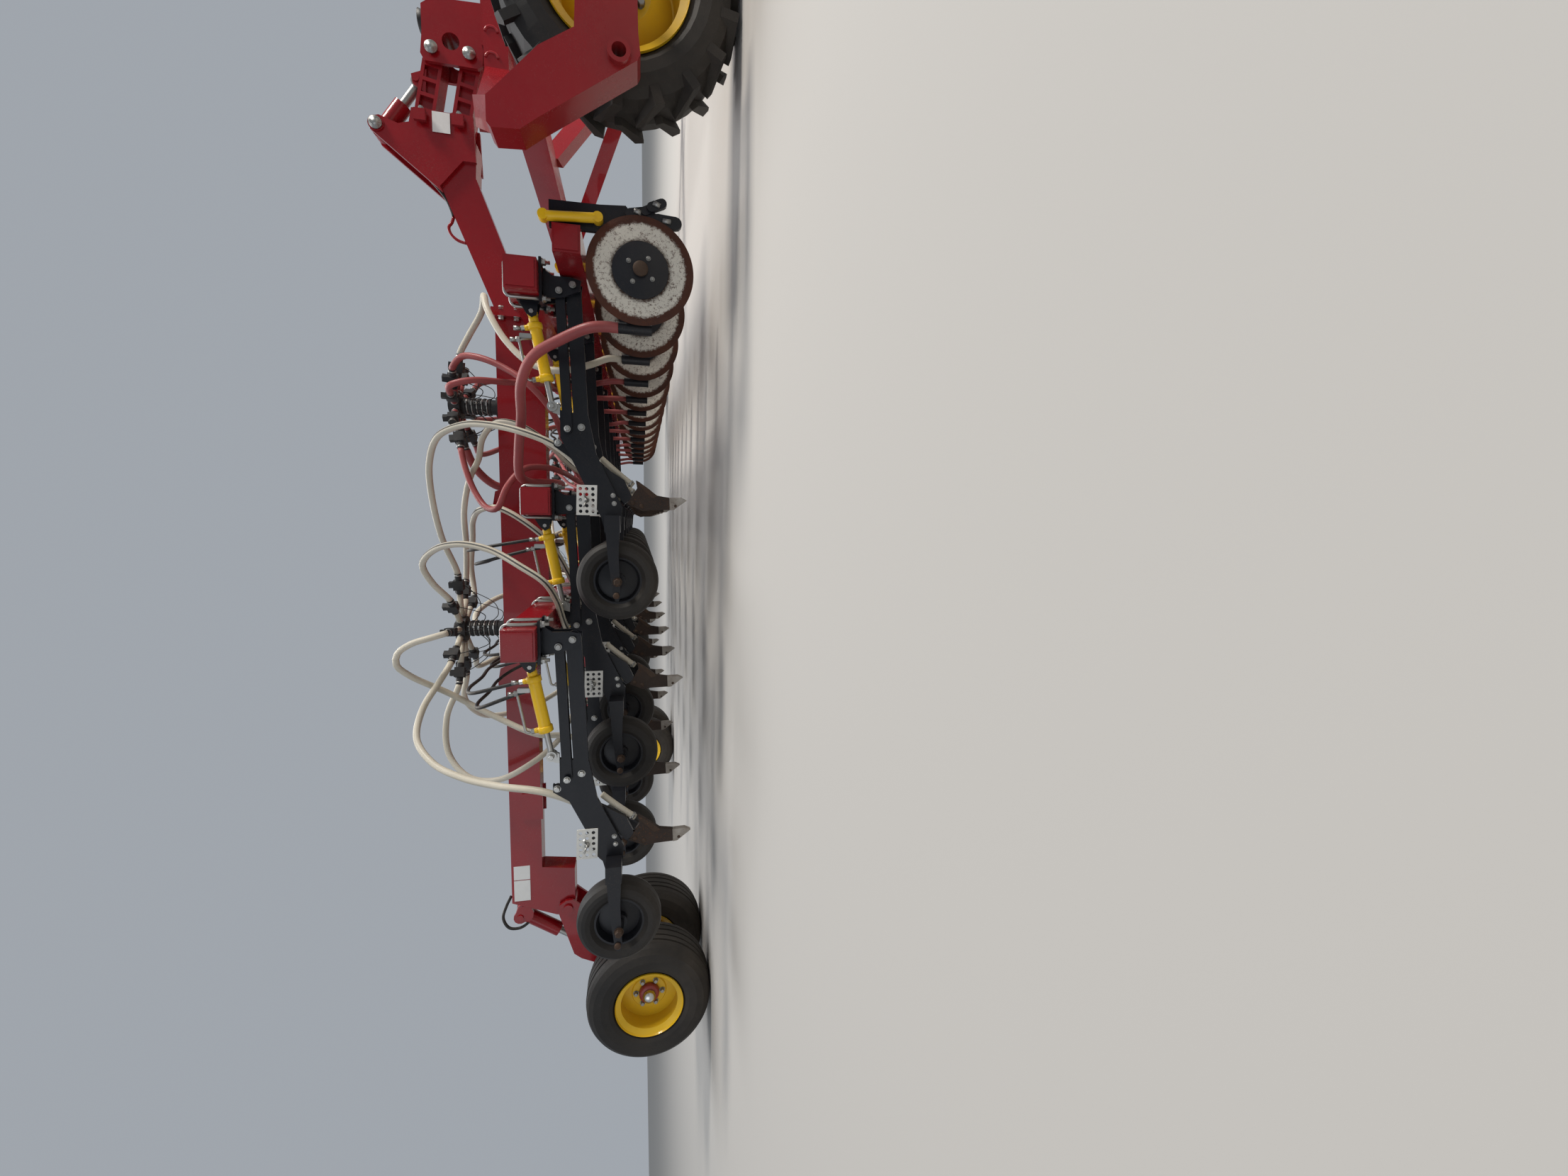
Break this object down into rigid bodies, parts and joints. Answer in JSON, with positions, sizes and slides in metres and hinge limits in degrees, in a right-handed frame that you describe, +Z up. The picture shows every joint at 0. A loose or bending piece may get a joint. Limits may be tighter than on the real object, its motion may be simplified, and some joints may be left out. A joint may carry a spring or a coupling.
{
  "type": "folded seed drill",
  "caption": "Wide trailed air seed drill raised for transport: red frame on twin rear wheels and a lugged front carriage, black hoe openers with packers and banding discs, drawbar with jack",
  "frame": {"origin": "on the ground, at the middle of the machine's length and width", "axes": "+X is forward, the way it is towed; +Y is the machine's left; +Z is up"},
  "size_m": [8.796, 8.334, 2.009],
  "materials": {
    "painted_red": "gloss",
    "painted_black": "satin",
    "painted_yellow": "gloss",
    "zinc_steel": "satin",
    "worn_iron": "matte",
    "pale_plate": "satin",
    "black_plastic": "matte",
    "seed_hose": "satin",
    "tyre": "matte"
  },
  "bodies": {
    "frame": {"main_beams": "painted_red", "goosenecks": "painted_red", "toolbars": "painted_red", "bander_bar": "painted_red", "opener_brackets": "painted_black", "opener_links": "painted_black", "opener_arms": "painted_black", "opener_shanks": "worn_iron", "opener_knives": "worn_iron", "opener_cylinders": "painted_yellow", "opener_rods": "zinc_steel", "depth_plates": "pale_plate", "bander_hangers": "painted_black", "bander_arms": "painted_black", "bander_cylinders": "painted_yellow", "air_towers": "black_plastic", "tower_heads": "black_plastic", "seed_hoses": "seed_hose"},
    "packers_front": {"packer_wheels_front": "painted_black", "packer_tyres_front": "tyre"},
    "packers_middle": {"packer_wheels_middle": "painted_black", "packer_tyres_middle": "tyre"},
    "packers_rear": {"packer_wheels_rear": "painted_black", "packer_tyres_rear": "tyre"},
    "bander_discs": {"bander_discs": "worn_iron"},
    "lift_arms": {"lift_arms": "painted_red"},
    "lift_cylinders": {"lift_cylinders": "painted_red"},
    "lift_rods": {"lift_rods": "zinc_steel"},
    "rear_wheels_right": {"rear_rims_right": "painted_yellow", "rear_tyres_right": "tyre"},
    "rear_wheels_left": {"rear_rims_left": "painted_yellow", "rear_tyres_left": "tyre"},
    "lower_links": {"lower_hitch_links": "painted_red"},
    "upper_links": {"upper_hitch_links": "painted_red"},
    "hitch_cylinders": {"hitch_cylinders": "painted_red"},
    "hitch_rods": {"hitch_rods": "zinc_steel"},
    "carriage": {"hitch_castings": "painted_red", "carriage_beam": "painted_red", "side_frames": "painted_red", "tongue": "painted_red", "jack_post": "painted_black"},
    "front_wheel_right": {"front_rim_right": "painted_yellow", "front_tyre_right": "tyre"},
    "front_wheel_left": {"front_rim_left": "painted_yellow", "front_tyre_left": "tyre"},
    "jack_leg": {"jack_leg": "zinc_steel"}
  },
  "joints": [
    {"name": "rear_lift", "type": "hinge", "parent": "frame", "child": "lift_arms", "pos_m": [-3.45, 0, 0.975], "axis": [0, 1, 0], "range_deg": [0, 31]},
    {"name": "rear_wheels_right_turn", "type": "hinge", "parent": "lift_arms", "child": "rear_wheels_right", "pos_m": [-3.978, 0, 0.42], "axis": [0, 1, 0], "continuous": true},
    {"name": "rear_wheels_left_turn", "type": "hinge", "parent": "lift_arms", "child": "rear_wheels_left", "pos_m": [-3.978, 0, 0.42], "axis": [0, 1, 0], "continuous": true},
    {"name": "lift_cylinder_swing", "type": "hinge", "parent": "frame", "child": "lift_cylinders", "pos_m": [-3.5, 0, 1.3], "axis": [0, 1, 0], "range_deg": [0, 16.31]},
    {"name": "lift_rod_travel", "type": "slide", "parent": "lift_cylinders", "child": "lift_rods", "axis": [-0.5547, 0, -0.8321], "range_m": [-0.1369, 0]},
    {"name": "lower_link_lift", "type": "hinge", "parent": "frame", "child": "lower_links", "pos_m": [1.67, 0, 1.513], "axis": [0, 1, 0], "range_deg": [-36, 0]},
    {"name": "carriage_level", "type": "hinge", "parent": "lower_links", "child": "carriage", "pos_m": [2.0604, 0, 1.4407], "axis": [0, 1, 0], "range_deg": [0, 36]},
    {"name": "upper_link_lift", "type": "hinge", "parent": "frame", "child": "upper_links", "pos_m": [1.67, 0, 1.72], "axis": [0, 1, 0], "range_deg": [-36, 0]},
    {"name": "hitch_cylinder_swing", "type": "hinge", "parent": "frame", "child": "hitch_cylinders", "pos_m": [1.602, 0, 1.965], "axis": [0, 1, 0], "range_deg": [-16.89, 0]},
    {"name": "hitch_rod_travel", "type": "slide", "parent": "hitch_cylinders", "child": "hitch_rods", "axis": [0.8237, 0, -0.567], "range_m": [-0.1192, 0]},
    {"name": "front_wheel_right_turn", "type": "hinge", "parent": "carriage", "child": "front_wheel_right", "pos_m": [1.65, 0, 0.548], "axis": [0, 1, 0], "continuous": true},
    {"name": "front_wheel_left_turn", "type": "hinge", "parent": "carriage", "child": "front_wheel_left", "pos_m": [1.65, 0, 0.548], "axis": [0, 1, 0], "continuous": true},
    {"name": "packers_front_turn", "type": "hinge", "parent": "frame", "child": "packers_front", "pos_m": [-1.029, 0, 0.582], "axis": [0, 1, 0], "continuous": true},
    {"name": "packers_middle_turn", "type": "hinge", "parent": "frame", "child": "packers_middle", "pos_m": [-2.117, 0, 0.582], "axis": [0, 1, 0], "continuous": true},
    {"name": "packers_rear_turn", "type": "hinge", "parent": "frame", "child": "packers_rear", "pos_m": [-2.805, 0, 0.582], "axis": [0, 1, 0], "continuous": true},
    {"name": "bander_discs_turn", "type": "hinge", "parent": "frame", "child": "bander_discs", "pos_m": [0.497, 0, 0.453], "axis": [0, 1, 0], "continuous": true},
    {"name": "jack_travel", "type": "slide", "parent": "carriage", "child": "jack_leg", "axis": [0, 0, 1], "range_m": [0, 0.25]}
  ],
  "couplings": [
    {"joint": "lift_cylinder_swing", "follows": "rear_lift", "ratio": 0.52607},
    {"joint": "lift_rod_travel", "follows": "rear_lift", "m_per_rad": -0.25305},
    {"joint": "carriage_level", "follows": "lower_link_lift", "ratio": -1},
    {"joint": "upper_link_lift", "follows": "lower_link_lift", "ratio": 1},
    {"joint": "hitch_cylinder_swing", "follows": "lower_link_lift", "ratio": 0.46923},
    {"joint": "hitch_rod_travel", "follows": "lower_link_lift", "m_per_rad": 0.18964}
  ]
}
